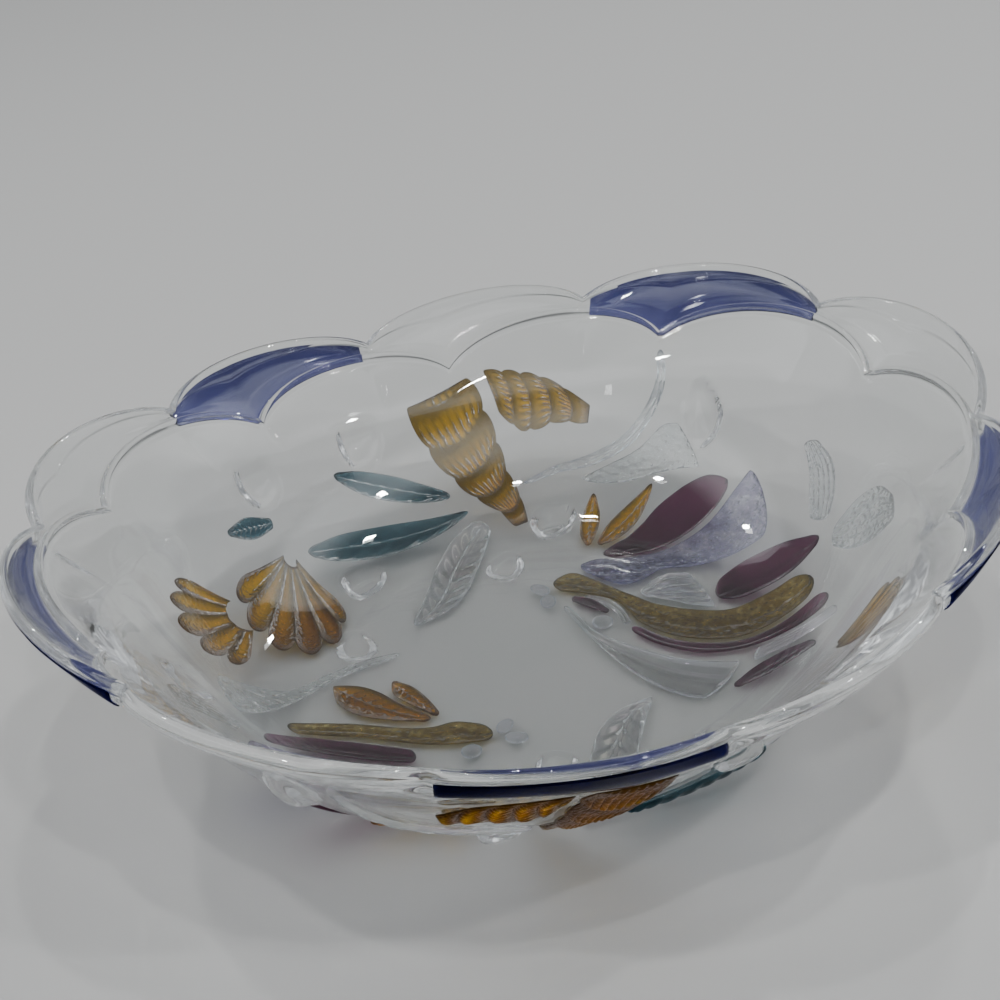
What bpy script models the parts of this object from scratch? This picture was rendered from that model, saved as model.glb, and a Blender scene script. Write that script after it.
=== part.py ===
"""Oval art glass bowl with a ten-petal rim and a fish and shell relief, in metres, +Z up.

The long axis is +X.  The bowl stands at z = 0 on the flat faces of its drop-shaped bosses.
The clear glass is one body.  Each stained stretch of the relief is a solid of its own that
follows the underside of the clear glass with a small gap.
"""
import bpy
import bmesh
import numpy as np
from math import cos, hypot, pi, radians, sin, sqrt, tau

# ------------------------------------------------------------------ driving sizes
RADIUS = 0.130                 # mean radius at the notches between the petals
OVAL = 0.081                   # the radius grows by this share on the long axis
SADDLE = 0.054 * RADIUS        # the rim rises by this much at the ends of the long axis
RIM_HEIGHT = 0.523 * RADIUS    # mean height of the notches above the table
PETALS = 10
PETAL_BULGE = 0.065            # how far a petal's arc runs outside the notches
PETAL_RISE = 0.045 * RADIUS    # and how far it rises above them
CREASE_RADIUS = 0.921          # the inner crease, at its cusps
CREASE_DROP = 0.098 * RADIUS   # depth of the cusps below the notches
CREASE_BULGE = 0.070
CREASE_RISE = 0.065 * RADIUS
CREASE_LEAD = 0.36             # a cusp lies at this share of each petal
CREASE_STEP = 0.0012
WALL = 0.0046
PETAL_WALL = 0.0036
GAP = 0.0006                   # clearance of a stained solid, which covers the sag of flat facets

# Outer face of the wall: share of the radius, height over the table in radii.
WALL_LINE = ((0.00, 0.020), (0.46, 0.020), (0.56, 0.036), (0.64, 0.070), (0.72, 0.130),
             (0.80, 0.220), (0.87, 0.325), (0.95, 0.465))

# Shares of each petal at which the mesh has a column: the notch, the cusp and even steps between.
COLUMNS = (0.0, 0.09, 0.18, 0.27, CREASE_LEAD, 0.47, 0.58, 0.69, 0.80, 0.90)
WALL_TOP = 0.87
WALL_ROWS = (0.26, 0.46, 0.54, 0.61, 0.68, 0.75, 0.81, WALL_TOP)

COLOURS = {
    "clear_glass": ((0.86, 0.89, 0.88, 1.0), 0.03),
    "blue_stain": ((0.10, 0.14, 0.42, 1.0), 0.06),
    "amber_stain": ((0.80, 0.42, 0.08, 1.0), 0.06),
    "gold_stain": ((0.48, 0.33, 0.08, 1.0), 0.12),
    "plum_stain": ((0.16, 0.05, 0.12, 1.0), 0.06),
    "teal_stain": ((0.06, 0.18, 0.22, 1.0), 0.08),
    "lilac_stain": ((0.52, 0.50, 0.66, 1.0), 0.20),
    "pearl_stain": ((0.74, 0.76, 0.78, 1.0), 0.12),
    "stippled_glass": ((0.80, 0.82, 0.84, 1.0), 0.22),
}


# ------------------------------------------------------------------ scene helpers
def clear_scene():
    """Remove every object, so that the script can be run again."""
    for thing in list(bpy.data.objects):
        bpy.data.objects.remove(thing, do_unlink=True)


def material(name):
    """The Principled material of one glass or stain, made on first use."""
    found = bpy.data.materials.get(name)
    if found:
        return found
    colour, roughness = COLOURS[name]
    made = bpy.data.materials.new(name)
    made.use_nodes = True
    shader = made.node_tree.nodes["Principled BSDF"]
    shader.inputs["Base Color"].default_value = colour
    shader.inputs["Roughness"].default_value = roughness
    shader.inputs["Metallic"].default_value = 0.0
    shader.inputs["Transmission Weight"].default_value = 0.9
    made.diffuse_color = colour
    return made


def solid(name, points, faces, stain):
    """One smooth-shaded closed object from points and faces, with its faces turned outwards."""
    shape = bmesh.new()
    corners = [shape.verts.new(point) for point in points]
    for face in faces:
        shape.faces.new([corners[index] for index in face])
    bmesh.ops.recalc_face_normals(shape, faces=shape.faces)
    mesh = bpy.data.meshes.new(name)
    shape.to_mesh(mesh)
    shape.free()
    mesh.shade_smooth()
    mesh.set_sharp_from_angle(angle=radians(40))
    mesh.materials.append(material(stain))
    thing = bpy.data.objects.new(name, mesh)
    bpy.context.collection.objects.link(thing)
    return thing


# ------------------------------------------------------------------ the glass surface
def oval(angle):
    return 1.0 + OVAL * cos(2 * angle)


def arc(share):
    """A flattened round arch: 0 at both ends of a petal, 1 in its middle."""
    flat = 0.82
    foot = sqrt(1 - flat)
    return (sqrt(max(0.0, 1 - flat * (2 * share - 1) ** 2)) - foot) / (1 - foot)


def wall_height(share):
    """Height of the outer face at a share of the radius, smooth through WALL_LINE."""
    line = np.array(WALL_LINE)
    knots, heights = line[:, 0], line[:, 1]
    slopes = np.gradient(heights, knots)
    slopes[:2] = 0.0
    place = int(np.clip(np.searchsorted(knots, share) - 1, 0, len(knots) - 2))
    width = knots[place + 1] - knots[place]
    t = (min(share, knots[-1]) - knots[place]) / width
    start, end = heights[place], heights[place + 1]
    bend = (2 * t ** 3 - 3 * t ** 2 + 1) * start + (3 * t ** 2 - 2 * t ** 3) * end
    bend += (t ** 3 - 2 * t ** 2 + t) * width * slopes[place]
    bend += (t ** 3 - t ** 2) * width * slopes[place + 1]
    bend += max(0.0, share - knots[-1]) * slopes[-1]
    return bend * RADIUS


def outer_point(x, y):
    """The point of the outer face over the plan position x, y, given in radii."""
    angle = np.arctan2(y, x)
    share = hypot(x, y) / oval(angle)
    low = min(share, WALL_TOP)
    height = wall_height(low) + SADDLE * cos(2 * angle) * np.clip((low - 0.5) / 0.5, 0, 1) ** 1.5
    if share > WALL_TOP:
        foot = petal_back((pi / 2 - angle) * PETALS / tau, 0.0)
        foot_share = hypot(foot[0], foot[1]) / (RADIUS * oval(angle))
        height += (foot[2] - height) * (share - WALL_TOP) / (foot_share - WALL_TOP)
    return np.array((x * RADIUS, y * RADIUS, height))


def outer_normal(x, y):
    """Unit normal of the outer face, pointing away from the glass."""
    step = 0.002
    along_x = outer_point(x + step, y) - outer_point(x - step, y)
    along_y = outer_point(x, y + step) - outer_point(x, y - step)
    normal = np.cross(along_y, along_x)
    return normal / np.linalg.norm(normal)


def on_wall(share, angle, depth=0.0):
    """A point of the wall, a depth inwards from the outer face."""
    x = share * oval(angle) * cos(angle)
    y = share * oval(angle) * sin(angle)
    return outer_point(x, y) - outer_normal(x, y) * depth


def polar(radius, angle, height):
    return np.array((radius * RADIUS * cos(angle), radius * RADIUS * sin(angle), height))


def rim_edge(turn):
    """The rim's edge; turn counts petals clockwise from the +Y notch."""
    angle = pi / 2 - tau * turn / PETALS
    rise = arc(turn % 1.0)
    height = RIM_HEIGHT + SADDLE * cos(2 * angle) + PETAL_RISE * rise
    return polar(oval(angle) * (1 + PETAL_BULGE * rise), angle, height)


def crease_line(turn):
    """The inner crease under the petals, with its cusps between the notches."""
    angle = pi / 2 - tau * turn / PETALS
    rise = arc((turn - CREASE_LEAD) % 1.0)
    height = RIM_HEIGHT + SADDLE * cos(2 * angle) - CREASE_DROP + CREASE_RISE * rise
    return polar(CREASE_RADIUS * oval(angle) * (1 + CREASE_BULGE * rise), angle, height)


def petal_frame(turn):
    """Crease point, edge point, direction of the petal and its upward normal."""
    crease, edge = crease_line(turn), rim_edge(turn)
    angle = pi / 2 - tau * turn / PETALS
    along = (edge - crease) / np.linalg.norm(edge - crease)
    radial = np.array((cos(angle), sin(angle), 0.0))
    run, rise = along @ radial, along[2]
    return crease, edge, along, np.array((-rise * radial[0], -rise * radial[1], run))


def petal_back(turn, share):
    """Outer face of a petal, from under the crease (share 0) to the edge (share 1)."""
    crease, edge, along, normal = petal_frame(turn)
    angle = pi / 2 - tau * turn / PETALS
    outward = np.array((0.83 * cos(angle), 0.83 * sin(angle), -0.56))
    foot = crease + outward * (WALL - CREASE_STEP)
    tip = edge - normal * PETAL_WALL / 2 - along * 0.0009
    sag = 0.0010 * sin(pi * share)
    return foot + (tip - foot) * share - normal * sag


# ------------------------------------------------------------------ the clear glass body
def body_column(turn):
    """The points of one column, from the floor's outer face over the rim to its inner face."""
    angle = pi / 2 - tau * turn / PETALS
    crease, edge, along, normal = petal_frame(turn)
    half = PETAL_WALL / 2
    column = [on_wall(share, angle) for share in WALL_ROWS]
    column += [petal_back(turn, share) for share in (0.0, 0.5, 1.0)]
    for bend in (-45, 0, 45):
        out = along * (half * cos(radians(bend)) * 0.7 - 0.0009)
        column.append(edge + out + normal * half * sin(radians(bend)))
    inner_edge = edge + normal * half - along * 0.0009
    step = crease + along * 0.0010 - normal * CREASE_STEP * 0.6
    middle = (inner_edge + step) / 2 - normal * 0.0009
    column += [inner_edge, middle, step, crease]
    column += [on_wall(share, angle, WALL) for share in reversed(WALL_ROWS)]
    return column


def bowl_body():
    """The clear bowl: a closed shell made of columns round the +Z axis."""
    turns = [petal + share for petal in range(PETALS) for share in COLUMNS]
    columns = [body_column(turn) for turn in turns]
    rows = len(columns[0])
    points = [point for column in columns for point in column]
    bottom, top = len(points), len(points) + 1
    points.append(outer_point(0.0, 0.0))
    points.append(outer_point(0.0, 0.0) + np.array((0.0, 0.0, WALL)))
    faces = []
    for index in range(len(columns)):
        here, there = index * rows, (index + 1) % len(columns) * rows
        faces.append((bottom, here, there))
        faces.append((top, there + rows - 1, here + rows - 1))
        for row in range(rows - 1):
            faces.append((here + row, here + row + 1, there + row + 1, there + row))
    return solid("bowl_body", points, faces, "clear_glass")


def drop_outline(count):
    """Outline of a drop of length 1 with its tip at +X, round its own middle."""
    turns = [tau * index / count for index in range(count)]
    return [(0.5 * cos(a) + 0.12 * cos(a) ** 4, 0.40 * sin(a) * (1 - 0.35 * cos(a))) for a in turns]


# Drop-shaped bosses of the clear glass: plan position in radii, and heading in degrees.
FEET = ((-0.223, 0.490, 20), (0.125, 0.385, 45), (0.312, 0.486, 0))
WALL_DROPS = ((-0.410, 0.715, 10), (-0.100, 0.788, 5), (0.740, 0.440, 80))
SINGLE_FOOT = (-0.340, 0.262, 75)
SINGLE_WALL_DROP = (-0.800, 0.125, 60)
DROP_LENGTH = 0.105


def drop_boss(x, y, heading, is_foot):
    """Points and faces of one boss.  It starts inside the glass; a foot ends flat on the table."""
    count = 12
    rings = ((1.0, -0.0012), (1.0, 0.0002), (0.82, 0.0012), (0.5, 0.0019))
    turn = radians(heading)
    points = []
    for scale, depth in rings:
        for along, across in drop_outline(count):
            along, across = along * scale * DROP_LENGTH, across * scale * DROP_LENGTH
            px = x + along * cos(turn) - across * sin(turn)
            py = y + along * sin(turn) + across * cos(turn)
            point = outer_point(px, py)
            if is_foot and depth > 0.001:
                sunk = 0.35 if scale > 0.6 else 0.0
                point = np.array((point[0], point[1], point[2] * sunk))
            else:
                point = point + outer_normal(px, py) * depth
            points.append(point)
    last = len(rings) - 1
    faces = [tuple(range(count)), tuple(last * count + index for index in range(count))]
    for ring in range(last):
        for index in range(count):
            after = (index + 1) % count
            low, high = ring * count, (ring + 1) * count
            faces.append((low + index, low + after, high + after, high + index))
    return points, faces


def fuse_bosses(body):
    """Join the bosses to the clear glass with one Boolean union."""
    places = [(*SINGLE_FOOT, True), (*SINGLE_WALL_DROP, False)]
    for x, y, heading in FEET + WALL_DROPS:
        is_foot = (x, y, heading) in FEET
        places += [(x, y, heading, is_foot), (-x, -y, heading + 180, is_foot)]
    points, faces = [], []
    for place in places:
        more, sides = drop_boss(*place)
        faces += [tuple(index + len(points) for index in face) for face in sides]
        points += more
    bosses = solid("drop_bosses", points, faces, "clear_glass")
    bosses.hide_render = True
    bosses.display_type = "WIRE"
    union = body.modifiers.new("bosses", "BOOLEAN")
    union.operation = "UNION"
    union.solver = "EXACT"
    union.object = bosses


# ------------------------------------------------------------------ stained relief
def relief(name, grid, stain, gap=GAP):
    """A closed solid over a grid of (point, outward normal, height) on the outer face."""
    rows, columns = len(grid), len(grid[0])
    points = [point + normal * gap for row in grid for point, normal, height in row]
    points += [point + normal * (gap + height) for row in grid for point, normal, height in row]
    under = rows * columns
    faces = []
    for row in range(rows - 1):
        for column in range(columns - 1):
            a = row * columns + column
            ring = (a, a + 1, a + columns + 1, a + columns)
            faces.append(ring)
            faces.append(tuple(under + index for index in reversed(ring)))
    border = [column for column in range(columns)]
    border += [row * columns + columns - 1 for row in range(1, rows)]
    border += [(rows - 1) * columns + column for column in range(columns - 2, -1, -1)]
    border += [row * columns for row in range(rows - 2, 0, -1)]
    for index, here in enumerate(border):
        there = border[(index + 1) % len(border)]
        faces.append((here, there, under + there, under + here))
    return solid(name, points, faces, stain)


def curve_through(points, share):
    """A smooth curve through a few points (Catmull-Rom), for a share from 0 to 1."""
    points = np.array(points, float)
    ends = (2 * points[0] - points[1], 2 * points[-1] - points[-2])
    knots = np.vstack((ends[0], points, ends[1]))
    place = min(int(share * (len(points) - 1)), len(points) - 2)
    t = share * (len(points) - 1) - place
    a, b, c, d = knots[place:place + 4]
    return 0.5 * (2 * b + (c - a) * t + (2 * a - 5 * b + 4 * c - d) * t ** 2
                  + (3 * b - 3 * c + d - a) * t ** 3)


def patch(name, stain, first, second, height, style, side=1.0):
    """A domed stretch of relief between two edges in plan; a shell has whorls across it."""
    steps = max(6, 2 * len(first) - 2)
    whorls = 4 if style == "shell" else 0
    grid = []
    for index in range(steps + 1):
        share = index / steps
        start, end = curve_through(first, share), curve_through(second, share)
        swell = 1.0 - 0.45 * abs(cos(pi * whorls * share)) if whorls else 1.0
        row = []
        for across in (0.0, 0.3, 0.7, 1.0):
            x, y = side * (start + (end - start) * across)
            rise = 0.0004 + height * (1 - (2 * across - 1) ** 2) * swell
            row.append((outer_point(x, y), outer_normal(x, y), rise))
        grid.append(row)
    return relief(name, grid, stain)


def fan(name, stain, hinge, angles, start, lengths, ribs):
    """A ribbed fan shell: ribs spread from a hinge between two angles, with a lobed edge."""
    height = 0.0017
    steps = ribs * 2
    grid = []
    for index in range(steps + 1):
        share = index / steps
        angle = radians(angles[0] + (angles[1] - angles[0]) * share)
        ridge = abs(sin(pi * ribs * share))
        length = float(curve_through([(value, 0) for value in lengths], share)[0])
        row = []
        for out in np.linspace(start, 1.0, 5):
            reach = length * out * (1 - 0.10 * (1 - ridge) * out)
            x = hinge[0] + reach * cos(angle)
            y = hinge[1] + reach * sin(angle)
            rise = 0.0004 + height * (0.35 + 0.65 * ridge) * sin(pi * min(out * 0.8 + 0.05, 0.85))
            row.append((outer_point(x, y), outer_normal(x, y), rise))
        grid.append(row)
    return relief(name, grid, stain)


def bead(name, stain, place, length, width, heading):
    """A small domed oval: an eye or a lip."""
    count = 10
    turn = radians(heading)
    points = []
    for scale, depth in ((1.0, GAP), (1.0, GAP + 0.0004), (0.55, GAP + 0.0013)):
        for index in range(count):
            along = scale * length / 2 * cos(tau * index / count)
            across = scale * width / 2 * sin(tau * index / count)
            x = place[0] + along * cos(turn) - across * sin(turn)
            y = place[1] + along * sin(turn) + across * cos(turn)
            points.append(outer_point(x, y) + outer_normal(x, y) * depth)
    faces = [tuple(range(count)), tuple(range(2 * count, 3 * count))]
    for ring in (0, count):
        for index in range(count):
            after = (index + 1) % count
            faces.append((ring + index, ring + after, ring + count + after, ring + count + index))
    return solid(name, points, faces, stain)


# Each relief piece: name, stain, its two edges in plan (radii) from one end to the other,
# height (m) and style.
BACK_FISH = (
    ("gold_band", "gold_stain",
     ((0.190, 0.262), (0.255, 0.268), (0.295, 0.200), (0.335, 0.115), (0.385, 0.030), (0.490, -0.055),
      (0.600, -0.078), (0.715, -0.098)),
     ((0.188, 0.225), (0.225, 0.195), (0.297, 0.110), (0.305, 0.000), (0.352, -0.090), (0.440, -0.155),
      (0.560, -0.182), (0.705, -0.190)), 0.0013, "band"),
    ("flank_band", "plum_stain",
     ((0.288, -0.010), (0.338, -0.105), (0.430, -0.172), (0.550, -0.202), (0.700, -0.210)),
     ((0.265, -0.010), (0.300, -0.095), (0.375, -0.178), (0.500, -0.222), (0.690, -0.268)),
     0.0012, "band"),
    ("cheek", "plum_stain", ((0.212, 0.178), (0.245, 0.142), (0.262, 0.080)),
     ((0.198, 0.168), (0.220, 0.125), (0.250, 0.078)), 0.0010, "leaf"),
    ("gill", "pearl_stain", ((0.240, 0.168), (0.278, 0.128), (0.292, 0.070), (0.284, 0.010)),
     ((0.232, 0.160), (0.262, 0.122), (0.272, 0.070), (0.264, 0.014)), 0.0013, "band"),
    ("back", "lilac_stain",
     ((0.275, 0.290), (0.335, 0.292), (0.395, 0.262), (0.470, 0.240), (0.560, 0.232), (0.640, 0.234),
      (0.720, 0.248), (0.790, 0.250)),
     ((0.305, 0.225), (0.345, 0.165), (0.400, 0.160), (0.460, 0.175), (0.535, 0.140), (0.630, 0.105),
      (0.735, 0.080)), 0.0014, "band"),
    ("dorsal_fin", "plum_stain",
     ((0.362, 0.312), (0.410, 0.328), (0.450, 0.334), (0.500, 0.348), (0.560, 0.366), (0.630, 0.362),
      (0.690, 0.336), (0.724, 0.292)),
     ((0.362, 0.302), (0.410, 0.275), (0.460, 0.258), (0.520, 0.250), (0.580, 0.248), (0.640, 0.252),
      (0.690, 0.260), (0.722, 0.274)), 0.0015, "band"),
    ("side_patch", "plum_stain",
     ((0.520, 0.015), (0.565, 0.055), (0.650, 0.060), (0.730, 0.020), (0.785, -0.050)),
     ((0.520, -0.005), (0.555, -0.035), (0.625, -0.055), (0.710, -0.073), (0.780, -0.070)),
     0.0014, "band"),
    ("pectoral_fin", "pearl_stain", ((0.362, 0.112), (0.410, 0.135), (0.455, 0.145), (0.512, 0.118)),
     ((0.370, 0.098), (0.415, 0.040), (0.455, -0.008), (0.497, -0.040)), 0.0015, "fin"),
    ("belly", "pearl_stain",
     ((0.164, 0.150), (0.166, 0.075), (0.170, 0.000), (0.180, -0.110), (0.205, -0.215), (0.248, -0.298),
      (0.300, -0.345)),
     ((0.180, 0.150), (0.186, 0.085), (0.190, 0.020), (0.240, -0.080), (0.315, -0.180), (0.385, -0.232),
      (0.440, -0.262)), 0.0010, "band"),
    ("pelvic_fin", "pearl_stain", ((0.490, -0.240), (0.550, -0.244), (0.630, -0.270), (0.680, -0.295)),
     ((0.455, -0.275), (0.520, -0.285), (0.610, -0.305), (0.670, -0.325)), 0.0013, "fin"),
    ("ventral_fin", "plum_stain", ((0.370, -0.325), (0.450, -0.302), (0.530, -0.306), (0.585, -0.338)),
     ((0.370, -0.338), (0.450, -0.350), (0.530, -0.358), (0.585, -0.368)), 0.0013, "leaf"),
    ("tail_upper", "stippled_glass", ((0.795, 0.000), (0.825, 0.050), (0.855, 0.100), (0.875, 0.160)),
     ((0.815, -0.050), (0.860, -0.010), (0.890, 0.050), (0.895, 0.130)), 0.0015, "fin"),
    ("tail_lower", "stippled_glass", ((0.810, -0.085), (0.865, -0.100), (0.895, -0.150), (0.888, -0.220)),
     ((0.780, -0.120), (0.790, -0.190), (0.815, -0.245), (0.850, -0.280)), 0.0015, "fin"),
)
FRONT_FISH = (
    ("gold_band", "gold_stain",
     ((-0.188, -0.176), (-0.250, -0.128), (-0.310, -0.118), (-0.380, -0.078), (-0.455, -0.022),
      (-0.530, 0.020), (-0.610, 0.040)),
     ((-0.195, -0.225), (-0.260, -0.205), (-0.330, -0.172), (-0.400, -0.118), (-0.465, -0.065),
      (-0.540, -0.022), (-0.610, 0.002)), 0.0013, "band"),
    ("flank_band", "plum_stain",
     ((-0.372, -0.175), (-0.430, -0.125), (-0.500, -0.070), (-0.580, -0.028), (-0.680, -0.008)),
     ((-0.385, -0.215), (-0.460, -0.165), (-0.540, -0.112), (-0.620, -0.070), (-0.690, -0.042)),
     0.0012, "band"),
    ("back", "lilac_stain",
     ((-0.400, -0.232), (-0.480, -0.185), (-0.560, -0.132), (-0.650, -0.090), (-0.740, -0.065)),
     ((-0.420, -0.262), (-0.500, -0.238), (-0.600, -0.220), (-0.700, -0.205), (-0.770, -0.175)),
     0.0013, "band"),
    ("dorsal_fin", "plum_stain",
     ((-0.375, -0.322), (-0.450, -0.325), (-0.530, -0.352), (-0.600, -0.362), (-0.670, -0.342),
      (-0.722, -0.288)),
     ((-0.375, -0.312), (-0.450, -0.292), (-0.530, -0.272), (-0.600, -0.262), (-0.670, -0.262),
      (-0.720, -0.272)), 0.0015, "band"),
    ("tail", "stippled_glass", ((-0.730, 0.020), (-0.790, 0.050), (-0.850, 0.050), (-0.885, 0.010)),
     ((-0.735, -0.020), (-0.790, -0.020), (-0.840, -0.040), (-0.875, -0.080)), 0.0015, "fin"),
)
PAIRED = (
    ("leaf_dark", "teal_stain", ((-0.195, 0.740), (-0.120, 0.738), (-0.030, 0.717), (0.050, 0.682),
     (0.092, 0.657)), ((-0.200, 0.730), (-0.140, 0.700), (-0.070, 0.677), (0.020, 0.655),
     (0.088, 0.645)), 0.0016, "leaf"),
    ("leaf_long", "teal_stain", ((-0.338, 0.598), (-0.230, 0.625), (-0.100, 0.628), (0.020, 0.617),
     (0.120, 0.607)), ((-0.335, 0.578), (-0.250, 0.560), (-0.130, 0.552), (0.000, 0.565),
     (0.115, 0.596)), 0.0015, "leaf"),
    ("leaf_short", "teal_stain", ((-0.535, 0.604), (-0.475, 0.640), (-0.405, 0.652)),
     ((-0.532, 0.594), (-0.470, 0.602), (-0.405, 0.634)), 0.0014, "leaf"),
    ("leaf_pearl", "pearl_stain", ((0.128, 0.578), (0.045, 0.540), (-0.030, 0.470), (-0.090, 0.390),
     (-0.145, 0.320), (-0.185, 0.276)), ((0.158, 0.540), (0.100, 0.465), (0.040, 0.390),
     (-0.015, 0.325), (-0.085, 0.280), (-0.180, 0.266)), 0.0016, "leaf"),
    ("leaf_blade", "pearl_stain", ((0.288, 0.612), (0.380, 0.602), (0.480, 0.572), (0.580, 0.552),
     (0.665, 0.566), (0.700, 0.612)), ((0.288, 0.602), (0.380, 0.585), (0.475, 0.549), (0.585, 0.526),
     (0.680, 0.544), (0.716, 0.598)), 0.0014, "leaf"),
    ("twin_leaf_upper", "amber_stain", ((0.342, 0.360), (0.350, 0.410), (0.385, 0.460), (0.435, 0.500)),
     ((0.356, 0.362), (0.402, 0.405), (0.428, 0.445), (0.442, 0.492)), 0.0014, "leaf"),
    ("twin_leaf_lower", "amber_stain", ((0.373, 0.360), (0.425, 0.398), (0.490, 0.418), (0.575, 0.428)),
     ((0.372, 0.347), (0.430, 0.345), (0.500, 0.366), (0.575, 0.418)), 0.0015, "leaf"),
    ("spiral_shell_large", "amber_stain", ((0.042, 0.815), (0.068, 0.745), (0.110, 0.680),
     (0.150, 0.625), (0.195, 0.570), (0.212, 0.515)), ((0.245, 0.822), (0.258, 0.760),
     (0.265, 0.705), (0.262, 0.650), (0.266, 0.585), (0.252, 0.513)), 0.0022, "shell"),
    ("spiral_shell_small", "amber_stain", ((0.282, 0.822), (0.357, 0.788), (0.430, 0.738),
     (0.512, 0.645)), ((0.286, 0.738), (0.335, 0.690), (0.420, 0.664), (0.492, 0.622)),
     0.0020, "shell"),
)
SINGLES = (
    ("side_leaf_outer", "amber_stain", ((-0.296, -0.094), (-0.370, -0.052), (-0.435, 0.005),
     (-0.462, 0.070), (-0.452, 0.135)), ((-0.292, -0.078), (-0.335, -0.005), (-0.362, 0.060),
     (-0.395, 0.105), (-0.442, 0.136)), 0.0015, "leaf"),
    ("side_leaf_inner", "amber_stain", ((-0.280, -0.080), (-0.318, -0.010), (-0.335, 0.040),
     (-0.322, 0.082)), ((-0.268, -0.082), (-0.272, -0.020), (-0.285, 0.040), (-0.312, 0.084)),
     0.0015, "leaf"),
    ("stipple_wedge", "stippled_glass", ((-0.262, 0.183), (-0.360, 0.193), (-0.460, 0.182),
     (-0.560, 0.160), (-0.640, 0.180), (-0.730, 0.200)), ((-0.262, 0.170), (-0.350, 0.168),
     (-0.450, 0.156), (-0.560, 0.115), (-0.650, 0.080), (-0.720, 0.068)), 0.0008, "band"),
    ("stipple_panel", "stippled_glass", ((0.420, 0.548), (0.500, 0.530), (0.580, 0.508),
     (0.650, 0.500), (0.690, 0.470)), ((0.455, 0.514), (0.530, 0.468), (0.595, 0.436),
     (0.650, 0.398), (0.690, 0.360)), 0.0009, "band"),
)
# Each fan: name, hinge in plan (radii), first and last angle (degrees), start share, lengths
# (radii) and number of ribs.
FANS = (
    ("fan_shell_large", (-0.385, 0.590), (-64, -154), 0.12, (0.170, 0.290, 0.315, 0.275, 0.190), 6),
    ("fan_shell_small", (-0.540, 0.432), (-114, -190), 0.36, (0.190, 0.235, 0.245, 0.210, 0.160), 5),
    ("fan_shell_far", (0.570, -0.450), (-80, 8), 0.12, (0.130, 0.160, 0.150), 6),
)
# Round beads: name, stain, place in plan (radii), length and width (radii), heading (degrees).
BEADS = (
    ("fish_back_eye", "pearl_stain", (0.223, 0.046), 0.052, 0.050, 0),
    ("fish_back_lip_upper", "pearl_stain", (0.152, 0.246), 0.054, 0.036, 120),
    ("fish_back_lip_lower", "pearl_stain", (0.146, 0.190), 0.050, 0.040, 60),
    ("fish_front_eye", "pearl_stain", (-0.262, -0.240), 0.048, 0.044, 0),
    ("fish_front_lip_upper", "pearl_stain", (-0.158, -0.196), 0.050, 0.034, 30),
    ("fish_front_lip_lower", "pearl_stain", (-0.152, -0.246), 0.054, 0.036, 150),
)
BLUE_PETALS = (1, 3, 5, 7, 9)


def relief_pieces():
    """Every stained solid of the relief; the leaves and spiral shells repeat after half a turn."""
    for motif, shapes in (("fish_back_", BACK_FISH), ("fish_front_", FRONT_FISH), ("", SINGLES)):
        for name, *shape in shapes:
            patch(motif + name, *shape)
    for name, *shape in PAIRED:
        patch(name + "_a", *shape)
        patch(name + "_b", *shape, side=-1.0)
    for name, *shape in FANS:
        fan(name, "amber_stain", *shape)
    for shape in BEADS:
        bead(*shape)


def petal_stain(petal):
    """A thin blue skin under one petal."""
    steps, rows = 8, (0.15, 0.5, 0.86)
    grid = []
    for index in range(steps + 1):
        turn = petal + 0.08 + 0.84 * index / steps
        row = []
        for share in rows:
            normal = petal_frame(turn)[3]
            row.append((petal_back(turn, share), -normal, 0.0006))
        grid.append(row)
    relief(f"petal_stain_{petal}", grid, "blue_stain", gap=0.0005)


clear_scene()
fuse_bosses(bowl_body())
relief_pieces()
for number in BLUE_PETALS:
    petal_stain(number)
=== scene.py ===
"""Looks of the oval art glass bowl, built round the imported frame.  Metres, +Z up, +X along the oval."""
from math import cos, pi, radians, sin, sqrt, tau

import bmesh
import bpy
import numpy as np
from mathutils import Matrix, Vector


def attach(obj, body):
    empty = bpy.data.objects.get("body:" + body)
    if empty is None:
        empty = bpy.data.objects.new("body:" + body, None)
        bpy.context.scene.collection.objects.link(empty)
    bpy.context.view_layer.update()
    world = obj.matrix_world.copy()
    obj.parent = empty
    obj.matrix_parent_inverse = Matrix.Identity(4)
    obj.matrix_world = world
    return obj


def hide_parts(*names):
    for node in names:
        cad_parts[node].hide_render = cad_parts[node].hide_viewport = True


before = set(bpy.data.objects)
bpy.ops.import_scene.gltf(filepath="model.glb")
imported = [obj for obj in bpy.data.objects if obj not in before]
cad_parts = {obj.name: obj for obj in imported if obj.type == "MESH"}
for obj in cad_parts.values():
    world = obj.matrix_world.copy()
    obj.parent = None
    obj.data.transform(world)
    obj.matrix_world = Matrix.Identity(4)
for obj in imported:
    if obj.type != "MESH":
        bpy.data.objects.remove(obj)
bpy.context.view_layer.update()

# ------------------------------------------------------------------ driving sizes, as in the CAD part
RADIUS = 0.130
OVAL = 0.081
SADDLE = 0.054 * RADIUS
RIM_HEIGHT = 0.523 * RADIUS
PETALS = 10
PETAL_BULGE = 0.065
PETAL_RISE = 0.045 * RADIUS
CREASE_RADIUS = 0.921
CREASE_DROP = 0.098 * RADIUS
CREASE_BULGE = 0.070
CREASE_RISE = 0.065 * RADIUS
CREASE_LEAD = 0.36
CREASE_STEP = 0.0014
WALL = 0.0046
PETAL_WALL = 0.0036
WALL_LINE = ((0.00, 0.020), (0.46, 0.020), (0.56, 0.036), (0.64, 0.070), (0.72, 0.130),
             (0.80, 0.220), (0.87, 0.325), (0.95, 0.465))
WALL_TOP = 0.87

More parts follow.
